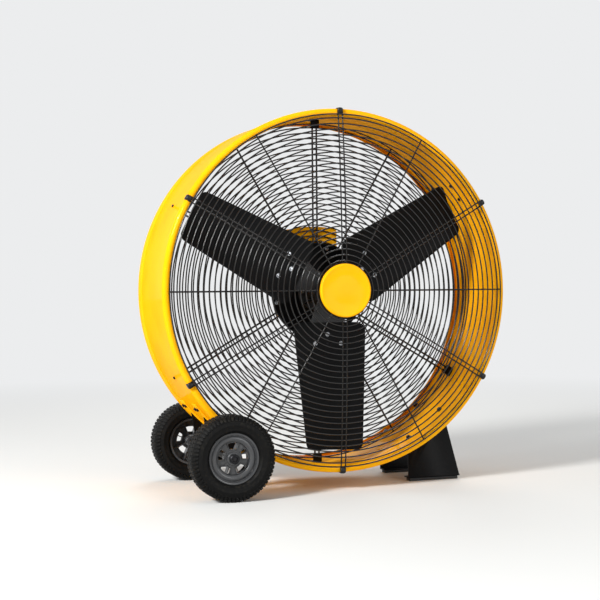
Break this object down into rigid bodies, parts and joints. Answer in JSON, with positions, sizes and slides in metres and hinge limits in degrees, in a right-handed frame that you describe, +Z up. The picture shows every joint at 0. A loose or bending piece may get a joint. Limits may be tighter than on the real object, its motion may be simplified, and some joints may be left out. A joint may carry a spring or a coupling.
{
  "type": "drum fan",
  "caption": "Belt-driven drum fan in a rolled steel band with wire guards at both ends, carried on a pair of wheels at one side and a fixed foot at the other.",
  "frame": {"origin": "on the floor, straight under the fan's axis, halfway between the two wheels", "axes": "+Z up, +Y along the fan's axis from the air outlet to the motor side, +X from the wheels to the foot"},
  "size_m": [1.12, 0.581, 1.181],
  "materials": {
    "yellow_coat": "glossy yellow powder coat",
    "black_coat": "semi-gloss black powder coat",
    "black_wire": "glossy black coated wire",
    "motor_paint": "satin grey paint",
    "cast_iron": "dark, lightly oiled",
    "bearing_steel": "ground",
    "grey_plastic": "moulded dark grey",
    "black_plastic": "moulded black",
    "rubber": "matt black",
    "tyre": "matt black, ribbed shoulders"
  },
  "bodies": {
    "frame": {"drum_shell": "yellow_coat", "front_grille": "black_wire", "front_hub_cap": "yellow_coat", "rear_grille": "black_wire", "mounting_plate": "black_coat", "bearing_housing": "cast_iron", "front_bearing": "bearing_steel", "rear_bearing": "bearing_steel", "drive_belt": "rubber", "motor_mount": "black_coat", "motor_housing": "motor_paint", "rear_cover": "yellow_coat", "speed_switch": "black_plastic", "cable_gland": "black_plastic", "front_axle_bracket": "black_coat", "rear_axle_bracket": "black_coat", "foot_frame": "black_coat", "handle_bar": "black_coat", "handle_grip": "rubber", "axle": "bearing_steel", "front_axle_collar": "bearing_steel", "rear_axle_collar": "bearing_steel", "front_axle_spacer": "black_coat", "rear_axle_spacer": "black_coat", "front_foot_pad": "rubber", "rear_foot_pad": "rubber", "front_grille_clip_1": "black_plastic", "rear_grille_bracket_1": "black_coat", "front_grille_clip_2": "black_plastic", "rear_grille_bracket_2": "black_coat", "front_grille_clip_3": "black_plastic", "rear_grille_bracket_3": "black_coat", "front_grille_clip_4": "black_plastic", "rear_grille_bracket_4": "black_coat", "front_grille_clip_5": "black_plastic", "rear_grille_bracket_5": "black_coat", "front_grille_clip_6": "black_plastic", "rear_grille_bracket_6": "black_coat"},
    "rotor": {"blade_1": "black_coat", "blade_2": "black_coat", "blade_3": "black_coat", "blade_hub": "cast_iron", "fan_shaft": "bearing_steel", "shaft_collar": "bearing_steel", "fan_pulley": "cast_iron"},
    "motor_rotor": {"motor_shaft": "bearing_steel", "motor_pulley": "cast_iron"},
    "front_wheel": {"front_tyre": "tyre", "front_wheel_hub": "grey_plastic", "front_wheel_bush": "bearing_steel"},
    "rear_wheel": {"rear_tyre": "tyre", "rear_wheel_hub": "grey_plastic", "rear_wheel_bush": "bearing_steel"},
    "speed_control": {"speed_knob": "black_plastic"}
  },
  "joints": [
    {"name": "rotor_spin", "type": "hinge", "parent": "frame", "child": "rotor", "pos_m": [0, 0, 0.615], "axis": [0, 1, 0], "continuous": true},
    {"name": "motor_spin", "type": "hinge", "parent": "frame", "child": "motor_rotor", "pos_m": [0, 0, 0.75], "axis": [0, 1, 0], "continuous": true},
    {"name": "front_wheel_roll", "type": "hinge", "parent": "frame", "child": "front_wheel", "pos_m": [-0.375, -0.246, 0.127], "axis": [0, 1, 0], "continuous": true},
    {"name": "rear_wheel_roll", "type": "hinge", "parent": "frame", "child": "rear_wheel", "pos_m": [-0.375, 0.246, 0.127], "axis": [0, 1, 0], "continuous": true},
    {"name": "speed_knob_turn", "type": "hinge", "parent": "frame", "child": "speed_control", "pos_m": [-0.034, 0.25, 0.579], "axis": [0, 1, 0], "range_deg": [-60, 60]}
  ],
  "couplings": [
    {"joint": "motor_spin", "follows": "rotor_spin", "ratio": 2.6}
  ]
}
